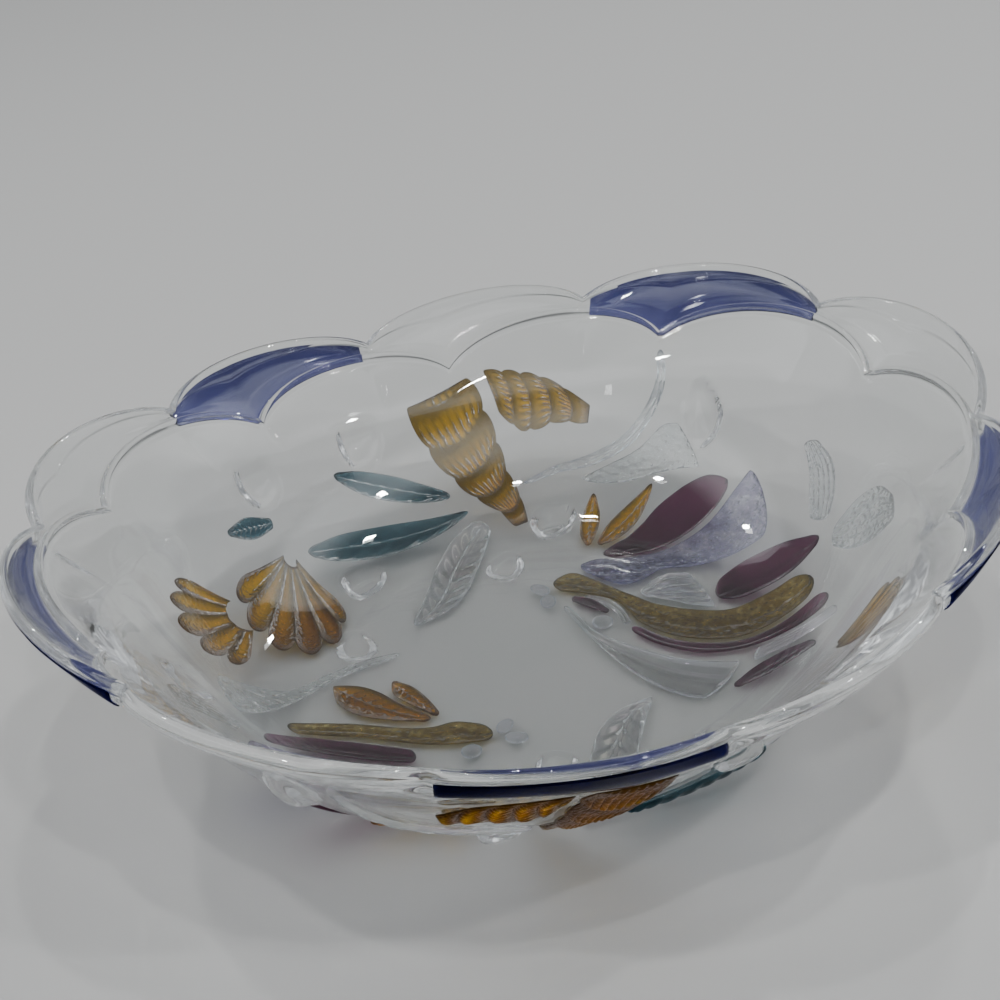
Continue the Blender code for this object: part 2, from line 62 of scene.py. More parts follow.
# ------------------------------------------------------------------ details the CAD part leaves out
CREASE_BEAD = 0.0011           # radius of the bead that runs along the crease
EDGE_INSET = 0.0009            # the round of the rim starts this far inside the petals' outline
EDGE_ROUND = 0.75              # how far the round stands out, as a share of a half circle
HOLLOW = 0.0007                # depth of the hollow on the inner face of a petal
BEVEL = 0.0009                 # further depth past the bevel that follows the rim
BEVEL_START, BEVEL_RUN = 0.20, 0.08     # place and width of the bevel, in shares of the petal
DROP_HEIGHT = 0.0031
DROP_FULLNESS = 0.5            # below 1 a drop has steep sides and a flat top
FOOT_FLATNESS = 1.18           # above 1 a foot ends in a flat face on the table
GAP = 0.00012                  # the stained solids lie this close under the clear glass
EDGE = 0.00025                 # thickness of the stained solids at their edges
WHORLS = 5                     # on each spiral shell
FAN_HEIGHT, BEAD_HEIGHT = 0.0022, 0.0014

# Resolution of the fine meshes.
LEAD_COLUMNS, TRAIL_COLUMNS = 17, 31
WALL_STEPS, INSIDE_STEPS, TURN_STEPS = 92, 60, 10
BACK_STEPS, PETAL_STEPS = 14, 40
FIRST_RING = 0.012             # share of the radius where the rings round the middle start


# ------------------------------------------------------------------ the glass surface
def unit(vectors):
    return vectors / np.linalg.norm(vectors, axis=-1, keepdims=True)


def oval(angle):
    return 1.0 + OVAL * np.cos(2 * angle)


def arc(share):
    """A flattened round arch: 0 at both ends of a petal, 1 in its middle."""
    flat = 0.82
    foot = sqrt(1 - flat)
    return (np.sqrt(np.maximum(0.0, 1 - flat * (2 * share - 1) ** 2)) - foot) / (1 - foot)


def wall_height(share):
    """Height of the outer face at a share of the radius, smooth through WALL_LINE."""
    line = np.array(WALL_LINE)
    knots, heights = line[:, 0], line[:, 1]
    slopes = np.gradient(heights, knots)
    slopes[:2] = 0.0
    share = np.asarray(share, float)
    place = np.clip(np.searchsorted(knots, share) - 1, 0, len(knots) - 2)
    width = knots[place + 1] - knots[place]
    t = (np.minimum(share, knots[-1]) - knots[place]) / width
    bend = (2 * t ** 3 - 3 * t ** 2 + 1) * heights[place] + (3 * t ** 2 - 2 * t ** 3) * heights[place + 1]
    bend += (t ** 3 - 2 * t ** 2 + t) * width * slopes[place]
    bend += (t ** 3 - t ** 2) * width * slopes[place + 1]
    bend += np.maximum(0.0, share - knots[-1]) * slopes[-1]
    return bend * RADIUS


def outer_point(x, y):
    """Points of the outer face over plan positions x, y, given in radii."""
    x, y = np.broadcast_arrays(np.asarray(x, float), np.asarray(y, float))
    angle = np.arctan2(y, x)
    share = np.hypot(x, y) / oval(angle)
    low = np.minimum(share, WALL_TOP)
    lift = SADDLE * np.cos(2 * angle) * np.clip((low - 0.5) / 0.5, 0, 1) ** 1.5
    height = wall_height(low) + lift
    above = share > WALL_TOP
    if above.any():
        foot = petal_back((pi / 2 - angle[above]) * PETALS / tau, 0.0)
        foot_share = np.hypot(foot[:, 0], foot[:, 1]) / (RADIUS * oval(angle[above]))
        climb = (share[above] - WALL_TOP) / (foot_share - WALL_TOP)
        height[above] += (foot[:, 2] - height[above]) * climb
    return np.stack((x * RADIUS, y * RADIUS, height), axis=-1)


def outer_normal(x, y):
    """Unit normals of the outer face, pointing away from the glass."""
    step = 0.002
    along_x = outer_point(x + step, y) - outer_point(x - step, y)
    along_y = outer_point(x, y + step) - outer_point(x, y - step)
    return unit(np.cross(along_y, along_x))


def turn_angle(turn):
    return pi / 2 - tau * turn / PETALS


def plan(share, angle):
    radius = share * oval(angle)
    return radius * np.cos(angle), radius * np.sin(angle)


def polar(radius, angle, height):
    return np.stack((radius * RADIUS * np.cos(angle), radius * RADIUS * np.sin(angle), height), axis=-1)


def rim_edge(turn):
    """The rim's edge; turn counts petals clockwise from the +Y notch."""
    angle = turn_angle(turn)
    rise = arc(turn % 1.0)
    height = RIM_HEIGHT + SADDLE * np.cos(2 * angle) + PETAL_RISE * rise
    return polar(oval(angle) * (1 + PETAL_BULGE * rise), angle, height)


def crease_line(turn):
    """The inner crease under the petals, with its cusps between the notches."""
    angle = turn_angle(turn)
    rise = arc((turn - CREASE_LEAD) % 1.0)
    height = RIM_HEIGHT + SADDLE * np.cos(2 * angle) - CREASE_DROP + CREASE_RISE * rise
    return polar(CREASE_RADIUS * oval(angle) * (1 + CREASE_BULGE * rise), angle, height)


def petal_frame(turn):
    """Crease points, edge points, direction of the petal and its upward normal."""
    crease, edge = crease_line(turn), rim_edge(turn)
    angle = turn_angle(turn)
    along = unit(edge - crease)
    radial = np.stack((np.cos(angle), np.sin(angle), 0 * angle), axis=-1)
    run = np.sum(along * radial, axis=-1, keepdims=True)
    normal = -along[:, 2:3] * radial
    normal[:, 2] = run[:, 0]
    return crease, edge, along, normal, radial


def petal_back(turn, share):
    """Outer face of a petal, from under the crease (share 0) to the edge (share 1)."""
    crease, edge, along, normal, radial = petal_frame(turn)
    outward = 0.83 * radial
    outward[:, 2] = -0.56
    foot = crease + outward * (WALL - CREASE_STEP)
    tip = edge - normal * PETAL_WALL / 2 - along * EDGE_INSET
    return foot + (tip - foot) * share - normal * 0.0010 * np.sin(pi * share)


def hermite(start, end, start_pull, end_pull, share):
    t = share
    return ((2 * t ** 3 - 3 * t ** 2 + 1) * start + (3 * t ** 2 - 2 * t ** 3) * end
            + (t ** 3 - 2 * t ** 2 + t) * start_pull + (t ** 3 - t ** 2) * end_pull)


# ------------------------------------------------------------------ clear relief on the outer face
FEET = ((-0.223, 0.490, 20), (0.125, 0.385, 45), (0.312, 0.486, 0))
WALL_DROPS = ((-0.410, 0.715, 10), (-0.100, 0.788, 5), (0.740, 0.440, 80))
SINGLE_FOOT = (-0.340, 0.262, 75)
SINGLE_WALL_DROP = (-0.800, 0.125, 60)
DROP_LENGTH = 0.105


def drop_field(x, y, place):
    """0 outside a drop, rising to 1 on its middle, for plan positions in radii."""
    turn = radians(place[2])
    along = ((x - place[0]) * cos(turn) + (y - place[1]) * sin(turn)) / DROP_LENGTH
    across = (-(x - place[0]) * sin(turn) + (y - place[1]) * cos(turn)) / DROP_LENGTH
    tip = 0.56
    half_width = 0.40 * np.sqrt(np.clip(1 - (along / tip) ** 2, 0, 1))
    half_width = half_width * (1 - 0.62 * np.clip(along, -0.5, 1))
    inside = np.clip(1 - (across / np.maximum(half_width, 1e-4)) ** 2, 0, 1)
    inside = np.where(np.abs(along) < tip, inside, 0)
    return inside ** DROP_FULLNESS * np.clip((tip - np.abs(along)) / 0.16, 0, 1) ** 0.7


def drop_places():
    singles = [(*SINGLE_FOOT, True), (*SINGLE_WALL_DROP, False)]
    for x, y, heading in FEET + WALL_DROPS:
        is_foot = (x, y, heading) in FEET
        singles += [(x, y, heading, is_foot), (-x, -y, heading + 180, is_foot)]
    return singles


def with_drops(x, y, points):
    """Push the outer face out to the drops; the feet end flat on the table."""
    normals = outer_normal(x, y)
    for place in drop_places():
        field = drop_field(x, y, place)[..., None]
        if place[3]:
            down = np.minimum(field * FOOT_FLATNESS, 1.0) * points[..., 2:3]
            points = points - down * np.array((0.0, 0.0, 1.0))
        else:
            points = points + normals * field * DROP_HEIGHT
    return points


# ------------------------------------------------------------------ meshes
def link_mesh(name, points, faces, slot_name, swell=None, clear_faces=()):
    """Link a mesh.  swell is 0 in the grooves and 1 on the ridges of stained relief, and some stained
    materials take part of their tint from it, for amber and gold as painted shade in the grooves and a
    painted highlight on the ridges; the faces that only let the stain be seen through the glass are
    clear."""
    mesh = bpy.data.meshes.new(name)
    mesh.from_pydata([tuple(point) for point in points], [], faces)
    mesh.update()
    shape = bmesh.new()
    shape.from_mesh(mesh)
    bmesh.ops.recalc_face_normals(shape, faces=shape.faces)
    shape.to_mesh(mesh)
    shape.free()
    mesh.shade_smooth()
    if swell is not None:
        mesh.attributes.new("swell", "FLOAT", "POINT").data.foreach_set("value", swell)
    thing = bpy.data.objects.new(name, mesh)
    bpy.context.collection.objects.link(thing)
    thing.data.materials.append(MATERIALS[slot_name])
    if clear_faces:
        thing.data.materials.append(MATERIALS["clear_glass"])
        for index in clear_faces:
            mesh.polygons[index].material_index = 1
    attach(thing, "root")
    return thing


def outer_rows(turns):
    """Rings up the outer face, from round the middle of the floor to the petals' edge."""
    angle = turn_angle(turns)
    along = petal_frame(turns)[2]
    rows = []
    for share in np.linspace(FIRST_RING, WALL_TOP, WALL_STEPS):
        x, y = plan(share, angle)
        rows.append(with_drops(x, y, outer_point(x, y)))
    below = outer_point(*plan(WALL_TOP - 0.01, angle))
    top = outer_point(*plan(WALL_TOP, angle))
    foot = petal_back(turns, 0.0)
    reach = np.linalg.norm(foot - top, axis=-1, keepdims=True)
    for share in np.linspace(0, 1, TURN_STEPS)[1:-1]:
        rows.append(hermite(top, foot, unit(top - below) * reach, along * reach, share))
    return rows + [petal_back(turns, share) for share in np.linspace(0, 1, BACK_STEPS)]


def petal_rows(turns):
    """Rings round the rim's edge, down the petals' inner face and over the bead on the crease."""
    crease, edge, along, normal, radial = petal_frame(turns)
    half = PETAL_WALL / 2
    rows = []
    for bend in (-60, -40, -20, 0, 20, 40, 60):
        out = along * (half * cos(radians(bend)) * EDGE_ROUND - EDGE_INSET)
        rows.append(edge + out + normal * half * sin(radians(bend)))
    inner_edge = edge + normal * half - along * EDGE_INSET
    step = crease + along * 2.1 * CREASE_BEAD - normal * CREASE_STEP * 0.75
    rows.append(inner_edge)
    for share in np.linspace(0, 1, PETAL_STEPS)[1:]:
        bevel = np.clip((share - BEVEL_START) / BEVEL_RUN, 0, 1)
        sink = HOLLOW * sin(pi * share)
        sink += BEVEL * bevel ** 2 * (3 - 2 * bevel) * min((1 - share) / 0.3, 1)
        rows.append(inner_edge + (step - inner_edge) * share - normal * sink)
    for bend in (-35, -5, 25, 55, 85, 115, 145):
        round_bead = along * cos(radians(bend)) + normal * sin(radians(bend))
        rows.append(crease + along * CREASE_BEAD + round_bead * CREASE_BEAD)
    return rows


def inner_rows(turns):
    """Rings down the inner face, from the crease to round the middle of the floor."""
    angle = turn_angle(turns)
    crease = crease_line(turns)
    top, below = (plan(share, angle) for share in (WALL_TOP, WALL_TOP - 0.01))
    inside_top = outer_point(*top) - outer_normal(*top) * WALL
    inside_below = outer_point(*below) - outer_normal(*below) * WALL
    reach = np.linalg.norm(crease - inside_top, axis=-1, keepdims=True)
    rise = unit(inside_top - inside_below)
    rows = [crease]
    for share in np.linspace(1, 0, TURN_STEPS)[1:]:
        rows.append(hermite(inside_top, crease, rise * reach, unit(crease - inside_top) * reach, share))
    for share in np.linspace(WALL_TOP, FIRST_RING, INSIDE_STEPS)[1:]:
        x, y = plan(share, angle)
        rows.append(outer_point(x, y) - outer_normal(x, y) * WALL)
    return rows


def bowl():
    lead = np.linspace(0, CREASE_LEAD, LEAD_COLUMNS, endpoint=False)
    trail = np.linspace(CREASE_LEAD, 1, TRAIL_COLUMNS, endpoint=False)
    turns = np.concatenate([petal + np.concatenate((lead, trail)) for petal in range(PETALS)])
    rows = np.array(outer_rows(turns) + petal_rows(turns) + inner_rows(turns))
    count, columns = len(rows), len(turns)
    points = rows.reshape(-1, 3)
    middle = outer_point(0.0, 0.0)
    points = np.vstack((points, middle, middle + np.array((0, 0, WALL))))
    bottom, top = len(points) - 2, len(points) - 1
    faces = []
    for column in range(columns):
        after = (column + 1) % columns
        faces.append((bottom, column, after))
        faces.append((top, (count - 1) * columns + after, (count - 1) * columns + column))
        for row in range(count - 1):
            low, high = row * columns, (row + 1) * columns
            faces.append((low + column, high + column, high + after, low + after))
    thing = link_mesh("clear_bowl", points, faces, "clear_glass")
    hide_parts("bowl_body")


# ------------------------------------------------------------------ stained relief
def curve_through(points, shares):
    """A smooth curve through a few points (Catmull-Rom), at shares from 0 to 1."""
    points = np.array(points, float)
    knots = np.vstack((2 * points[0] - points[1], points, 2 * points[-1] - points[-2]))
    spans = len(points) - 1
    place = np.minimum((shares * spans).astype(int), spans - 1)
    t = (shares * spans - place)[:, None]
    a, b, c, d = knots[place], knots[place + 1], knots[place + 2], knots[place + 3]
    return 0.5 * (2 * b + (c - a) * t + (2 * a - 5 * b + 4 * c - d) * t ** 2
                  + (3 * b - 3 * c + d - a) * t ** 3)


def closed_relief(name, x, y, heights, slot_name):
    """A closed solid over a grid of plan positions, with a height under each."""
    points, normals = outer_point(x, y), outer_normal(x, y)
    upper = points + normals * GAP
    lower = points + normals * (GAP + heights[..., None])
    return closed_grid(name, upper, lower, slot_name, heights / heights.max())


def closed_grid(name, upper, lower, slot_name, swell):
    """Join two grids of points into one closed solid."""
    rows, columns = upper.shape[:2]
    under = rows * columns
    points = np.vstack((upper.reshape(-1, 3), lower.reshape(-1, 3)))
    faces = []
    for row in range(rows - 1):
        for column in range(columns - 1):
            a = row * columns + column
            ring = (a, a + 1, a + columns + 1, a + columns)
            faces.append(ring)
            faces.append(tuple(under + index for index in reversed(ring)))
    border = list(range(columns))
    border += [row * columns + columns - 1 for row in range(1, rows)]
    border += [(rows - 1) * columns + column for column in range(columns - 2, -1, -1)]
    border += [row * columns for row in range(rows - 2, 0, -1)]
    for index, here in enumerate(border):
        there = border[(index + 1) % len(border)]
        faces.append((here, there, under + there, under + here))
    upper_faces = range(0, 2 * (rows - 1) * (columns - 1), 2)
    swells = np.tile(np.broadcast_to(swell, (rows, columns)).ravel(), 2)
    return link_mesh(name, points, faces, slot_name, swells, upper_faces)


def dome(across, power=0.7):
    return np.clip(1 - across ** 2, 0, 1) ** power


def leaf_height(along, across):
    """A leaf blade with a sunk midrib and slanting side veins."""
    groove = 1 - 0.50 * np.exp(-(across / 0.13) ** 2)
    veins = 0.10 * np.sin(tau * (9 * along + 1.1 * np.abs(across)))
    return dome(across) * (groove + veins)


def band_height(along, across):
    """A body band with a crisp edge and two faint flutes."""
    return dome(across, 0.38) * (0.90 + 0.10 * np.cos(2.5 * pi * across))


def fin_height(along, across):
    """Fin rays that run along the fin."""
    return dome(across, 0.6) * (0.72 + 0.28 * np.cos(5 * pi * across + 1.5 * along))


def whorl_share(along, across):
    """How far down its whorl a place on a spiral shell lies; each whorl sags towards the tip."""
    return (WHORLS * along - 0.30 * (1 - across ** 2)) % 1.0


def shell_height(along, across):
    """Whorls of a spiral shell: each swells down to a rounded lip that narrow grooves divide."""
    share = whorl_share(along, across)
    lip = share ** 0.7 * np.clip((1 - share) / 0.20, 0, 1) ** 0.6
    grooves = np.abs(np.sin(4.5 * pi * across)) ** 0.7 - 1
    depth = 0.80 * np.clip((share - 0.15) / 0.4, 0, 1)
    return dome(across, 0.45) * (0.10 + 0.90 * lip * (1 + depth * grooves))


def shell_width(shares):
    """The outline of a spiral shell bulges at each whorl."""
    share = whorl_share(shares, 1.0)
    return 0.86 + 0.14 * np.sin(pi * np.clip(share, 0, 1)) ** 0.5


STYLES = {"leaf": leaf_height, "band": band_height, "fin": fin_height, "shell": shell_height}


def patch(name, slot_name, first, second, height, style, side=1.0):
    """A stretch of relief between two edges in plan."""
    shares = np.linspace(0, 1, 150)
    start, end = curve_through(first, shares), curve_through(second, shares)
    if style == "shell":
        width = shell_width(shares)
    else:
        width = np.sqrt(1 - (1 - np.clip(np.minimum(shares, 1 - shares) / 0.05, 0.02, 1)) ** 2)
    middle, half = (start + end) / 2, (end - start) / 2 * width[:, None]
    start, end = middle - half, middle + half
    across = np.sin(np.linspace(-pi / 2, pi / 2, 111 if style == "shell" else 41))[None, :]
    blend = (across + 1) / 2
    x = side * (start[:, :1] + (end[:, :1] - start[:, :1]) * blend)
    y = side * (start[:, 1:] + (end[:, 1:] - start[:, 1:]) * blend)
    ends = np.clip(np.minimum(shares, 1 - shares) / 0.05, 0, 1)[:, None] ** 0.5
    heights = EDGE + height * STYLES[style](shares[:, None], across) * ends
    thing = closed_relief("fine_" + name, x, y, heights, slot_name)
    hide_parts(name)


def fan(name, slot_name, hinge, angles, start, lengths, ribs):
    """A ribbed fan shell with a lobed edge; its ribs spread from the hinge."""
    shares = np.linspace(0, 1, ribs * 18 + 1)
    out = np.linspace(start, 1.0, 34)[None, :]
    turn = np.radians(angles[0] + (angles[1] - angles[0]) * shares)[:, None]
    ridge = np.abs(np.sin(pi * ribs * shares))[:, None]
    length = curve_through([(value, 0) for value in lengths], shares)[:, :1]
    lobe = 1 - 0.16 * (1 - ridge ** 0.6) * out ** 2
    x = hinge[0] + length * out * lobe * np.cos(turn)
    y = hinge[1] + length * out * lobe * np.sin(turn)
    crest = 0.66
    swell = np.sqrt(np.clip(1 - ((out - crest) / 0.35) ** 2, 0, 1)) * (out > crest)
    swell = swell + (0.25 + 0.75 * (out / crest)) * (out <= crest)
    sides = np.clip(np.minimum(shares, 1 - shares) / 0.02, 0, 1)[:, None]
    fine_ribs = 0.08 * np.cos(6 * pi * ribs * shares)[:, None] * (1 - out)
    heights = EDGE + FAN_HEIGHT * swell * (0.18 + 0.82 * ridge ** 0.8 + fine_ribs) * sides
    thing = closed_relief("fine_" + name, x, y, heights, slot_name)
    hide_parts(name)


def bead(name, slot_name, place, length, width, heading):
    """A domed oval: an eye or a lip, with a shallow ring round its top."""
    count, rings = 32, 14
    around = np.linspace(0, tau, count + 1)[:-1][:, None]
    out = np.sin(np.linspace(0.06, pi / 2, rings))[None, :]
    turn = radians(heading)
    along = out * length / 2 * np.cos(around)
    across = out * width / 2 * np.sin(around)
    x = place[0] + along * cos(turn) - across * sin(turn)
    y = place[1] + along * sin(turn) + across * cos(turn)
    ring = 1 - 0.22 * np.exp(-((out - 0.45) / 0.12) ** 2)
    heights = EDGE + BEAD_HEIGHT * np.sqrt(1.0001 - out ** 2) * ring
    points, normals = outer_point(x, y), outer_normal(x, y)
    rims = (points + normals * GAP, points + normals * (GAP + heights[..., None]))
    cloud = np.vstack([grid.reshape(-1, 3) for grid in rims])
    under = count * rings
    faces = [tuple(index * rings for index in range(count))]
    faces.append(tuple(under + index * rings for index in reversed(range(count))))
    for index in range(count):
        here, there = index * rings, (index + 1) % count * rings
        for ring_index in range(rings - 1):
            a, b = here + ring_index, there + ring_index
            faces.append((a, a + 1, b + 1, b))
            faces.append((under + a, under + b, under + b + 1, under + a + 1))
        last = rings - 1
        faces.append((here + last, under + here + last, under + there + last, there + last))
    swells = np.tile(np.broadcast_to(1 - out ** 2, (count, rings)).ravel(), 2)
    thing = link_mesh("fine_" + name, cloud, faces, slot_name, swells)
    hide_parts(name)


# Each relief piece: name, stain, its two edges in plan (radii) from one end to the other,
# height (m) and style.  First the larger fish, on the back wall.
BACK_FISH = (
    ("gold_band", "gold_stain",
     ((0.190, 0.262), (0.255, 0.268), (0.295, 0.200), (0.335, 0.115), (0.385, 0.030), (0.490, -0.055),
      (0.600, -0.078), (0.715, -0.098)),
     ((0.188, 0.225), (0.225, 0.195), (0.297, 0.110), (0.305, 0.000), (0.352, -0.090), (0.440, -0.155),
      (0.560, -0.182), (0.705, -0.190)), 0.0013, "band"),
    ("flank_band", "plum_stain",
     ((0.288, -0.010), (0.338, -0.105), (0.430, -0.172), (0.550, -0.202), (0.700, -0.210)),
     ((0.265, -0.010), (0.300, -0.095), (0.375, -0.178), (0.500, -0.222), (0.690, -0.268)),
     0.0012, "band"),
    ("cheek", "plum_stain", ((0.212, 0.178), (0.245, 0.142), (0.262, 0.080)),
     ((0.198, 0.168), (0.220, 0.125), (0.250, 0.078)), 0.0010, "leaf"),
    ("gill", "pearl_stain", ((0.240, 0.168), (0.278, 0.128), (0.292, 0.070), (0.284, 0.010)),
     ((0.232, 0.160), (0.262, 0.122), (0.272, 0.070), (0.264, 0.014)), 0.0013, "band"),
    ("back", "lilac_stain",
     ((0.275, 0.290), (0.335, 0.292), (0.395, 0.262), (0.470, 0.240), (0.560, 0.232), (0.640, 0.234),
      (0.720, 0.248), (0.790, 0.250)),
     ((0.305, 0.225), (0.345, 0.165), (0.400, 0.160), (0.460, 0.175), (0.535, 0.140), (0.630, 0.105),
      (0.735, 0.080)), 0.0014, "band"),
    ("dorsal_fin", "plum_stain",
     ((0.362, 0.312), (0.410, 0.328), (0.450, 0.334), (0.500, 0.348), (0.560, 0.366), (0.630, 0.362),
      (0.690, 0.336), (0.724, 0.292)),
     ((0.362, 0.302), (0.410, 0.275), (0.460, 0.258), (0.520, 0.250), (0.580, 0.248), (0.640, 0.252),
      (0.690, 0.260), (0.722, 0.274)), 0.0015, "band"),
    ("side_patch", "plum_stain",
     ((0.520, 0.015), (0.565, 0.055), (0.650, 0.060), (0.730, 0.020), (0.785, -0.050)),
     ((0.520, -0.005), (0.555, -0.035), (0.625, -0.055), (0.710, -0.073), (0.780, -0.070)),
     0.0014, "band"),
    ("pectoral_fin", "pearl_stain", ((0.362, 0.112), (0.410, 0.135), (0.455, 0.145), (0.512, 0.118)),
     ((0.370, 0.098), (0.415, 0.040), (0.455, -0.008), (0.497, -0.040)), 0.0015, "fin"),
    ("belly", "pearl_stain",
     ((0.164, 0.150), (0.166, 0.075), (0.170, 0.000), (0.180, -0.110), (0.205, -0.215), (0.248, -0.298),
      (0.300, -0.345)),
     ((0.180, 0.150), (0.186, 0.085), (0.190, 0.020), (0.240, -0.080), (0.315, -0.180), (0.385, -0.232),
      (0.440, -0.262)), 0.0010, "band"),
    ("pelvic_fin", "pearl_stain", ((0.490, -0.240), (0.550, -0.244), (0.630, -0.270), (0.680, -0.295)),
     ((0.455, -0.275), (0.520, -0.285), (0.610, -0.305), (0.670, -0.325)), 0.0013, "fin"),
    ("ventral_fin", "plum_stain", ((0.370, -0.325), (0.450, -0.302), (0.530, -0.306), (0.585, -0.338)),
     ((0.370, -0.338), (0.450, -0.350), (0.530, -0.358), (0.585, -0.368)), 0.0013, "leaf"),
    ("tail_upper", "stippled_glass", ((0.795, 0.000), (0.825, 0.050), (0.855, 0.100), (0.875, 0.160)),
     ((0.815, -0.050), (0.860, -0.010), (0.890, 0.050), (0.895, 0.130)), 0.0015, "fin"),
    ("tail_lower", "stippled_glass", ((0.810, -0.085), (0.865, -0.100), (0.895, -0.150), (0.888, -0.220)),
     ((0.780, -0.120), (0.790, -0.190), (0.815, -0.245), (0.850, -0.280)), 0.0015, "fin"),
)
FRONT_FISH = (
    ("gold_band", "gold_stain",
     ((-0.188, -0.176), (-0.250, -0.128), (-0.310, -0.118), (-0.380, -0.078), (-0.455, -0.022),
      (-0.530, 0.020), (-0.610, 0.040)),
     ((-0.195, -0.225), (-0.260, -0.205), (-0.330, -0.172), (-0.400, -0.118), (-0.465, -0.065),
      (-0.540, -0.022), (-0.610, 0.002)), 0.0013, "band"),
    ("flank_band", "plum_stain",
     ((-0.372, -0.175), (-0.430, -0.125), (-0.500, -0.070), (-0.580, -0.028), (-0.680, -0.008)),
     ((-0.385, -0.215), (-0.460, -0.165), (-0.540, -0.112), (-0.620, -0.070), (-0.690, -0.042)),
     0.0012, "band"),
    ("back", "lilac_stain",
     ((-0.400, -0.232), (-0.480, -0.185), (-0.560, -0.132), (-0.650, -0.090), (-0.740, -0.065)),
     ((-0.420, -0.262), (-0.500, -0.238), (-0.600, -0.220), (-0.700, -0.205), (-0.770, -0.175)),
     0.0013, "band"),
    ("dorsal_fin", "plum_stain",
     ((-0.375, -0.322), (-0.450, -0.325), (-0.530, -0.352), (-0.600, -0.362), (-0.670, -0.342),
      (-0.722, -0.288)),
     ((-0.375, -0.312), (-0.450, -0.292), (-0.530, -0.272), (-0.600, -0.262), (-0.670, -0.262),
      (-0.720, -0.272)), 0.0015, "band"),
    ("tail", "stippled_glass", ((-0.730, 0.020), (-0.790, 0.050), (-0.850, 0.050), (-0.885, 0.010)),
     ((-0.735, -0.020), (-0.790, -0.020), (-0.840, -0.040), (-0.875, -0.080)), 0.0015, "fin"),
)
# Leaves and shells that come twice, the second time half a turn further.
PAIRED = (
    ("leaf_dark", "teal_stain", ((-0.195, 0.740), (-0.120, 0.738), (-0.030, 0.717), (0.050, 0.682),
     (0.092, 0.657)), ((-0.200, 0.730), (-0.140, 0.700), (-0.070, 0.677), (0.020, 0.655),
     (0.088, 0.645)), 0.0016, "leaf"),
    ("leaf_long", "teal_stain", ((-0.338, 0.598), (-0.230, 0.625), (-0.100, 0.628), (0.020, 0.617),
     (0.120, 0.607)), ((-0.335, 0.578), (-0.250, 0.560), (-0.130, 0.552), (0.000, 0.565),
     (0.115, 0.596)), 0.0015, "leaf"),
    ("leaf_short", "teal_stain", ((-0.535, 0.604), (-0.475, 0.640), (-0.405, 0.652)),
     ((-0.532, 0.594), (-0.470, 0.602), (-0.405, 0.634)), 0.0014, "leaf"),
    ("leaf_pearl", "pearl_stain", ((0.128, 0.578), (0.045, 0.540), (-0.030, 0.470), (-0.090, 0.390),
     (-0.145, 0.320), (-0.185, 0.276)), ((0.158, 0.540), (0.100, 0.465), (0.040, 0.390),
     (-0.015, 0.325), (-0.085, 0.280), (-0.180, 0.266)), 0.0016, "leaf"),
    ("leaf_blade", "pearl_stain", ((0.288, 0.612), (0.380, 0.602), (0.480, 0.572), (0.580, 0.552),
     (0.665, 0.566), (0.700, 0.612)), ((0.288, 0.602), (0.380, 0.585), (0.475, 0.549), (0.585, 0.526),
     (0.680, 0.544), (0.716, 0.598)), 0.0014, "leaf"),
    ("twin_leaf_upper", "amber_stain", ((0.342, 0.360), (0.350, 0.410), (0.385, 0.460), (0.435, 0.500)),
     ((0.356, 0.362), (0.402, 0.405), (0.428, 0.445), (0.442, 0.492)), 0.0014, "leaf"),
    ("twin_leaf_lower", "amber_stain", ((0.373, 0.360), (0.425, 0.398), (0.490, 0.418), (0.575, 0.428)),
     ((0.372, 0.347), (0.430, 0.345), (0.500, 0.366), (0.575, 0.418)), 0.0015, "leaf"),
    ("spiral_shell_large", "amber_stain", ((0.042, 0.815), (0.068, 0.745), (0.110, 0.680),
     (0.150, 0.625), (0.195, 0.570), (0.212, 0.515)), ((0.245, 0.822), (0.258, 0.760),
     (0.265, 0.705), (0.262, 0.650), (0.266, 0.585), (0.252, 0.513)), 0.0022, "shell"),
    ("spiral_shell_small", "amber_stain", ((0.282, 0.822), (0.357, 0.788), (0.430, 0.738),
     (0.512, 0.645)), ((0.286, 0.738), (0.335, 0.690), (0.420, 0.664), (0.492, 0.622)),
     0.0020, "shell"),
)
SINGLES = (
    ("side_leaf_outer", "amber_stain", ((-0.296, -0.094), (-0.370, -0.052), (-0.435, 0.005),
     (-0.462, 0.070), (-0.452, 0.135)), ((-0.292, -0.078), (-0.335, -0.005), (-0.362, 0.060),
     (-0.395, 0.105), (-0.442, 0.136)), 0.0015, "leaf"),
    ("side_leaf_inner", "amber_stain", ((-0.280, -0.080), (-0.318, -0.010), (-0.335, 0.040),
     (-0.322, 0.082)), ((-0.268, -0.082), (-0.272, -0.020), (-0.285, 0.040), (-0.312, 0.084)),
     0.0015, "leaf"),
    ("stipple_wedge", "stippled_glass", ((-0.262, 0.183), (-0.360, 0.193), (-0.460, 0.182),
     (-0.560, 0.160), (-0.640, 0.180), (-0.730, 0.200)), ((-0.262, 0.170), (-0.350, 0.168),
     (-0.450, 0.156), (-0.560, 0.115), (-0.650, 0.080), (-0.720, 0.068)), 0.0008, "band"),
    ("stipple_panel", "stippled_glass", ((0.420, 0.548), (0.500, 0.530), (0.580, 0.508),
     (0.650, 0.500), (0.690, 0.470)), ((0.455, 0.514), (0.530, 0.468), (0.595, 0.436),
     (0.650, 0.398), (0.690, 0.360)), 0.0009, "band"),
)
# Each fan: name, hinge in plan (radii), first and last angle (degrees), start share, lengths
# (radii) and number of ribs.
FANS = (
    ("fan_shell_large", (-0.385, 0.590), (-64, -154), 0.12, (0.170, 0.290, 0.315, 0.275, 0.190), 6),
    ("fan_shell_small", (-0.540, 0.432), (-114, -190), 0.36, (0.190, 0.235, 0.245, 0.210, 0.160), 5),
    ("fan_shell_far", (0.570, -0.450), (-80, 8), 0.12, (0.130, 0.160, 0.150), 6),
)
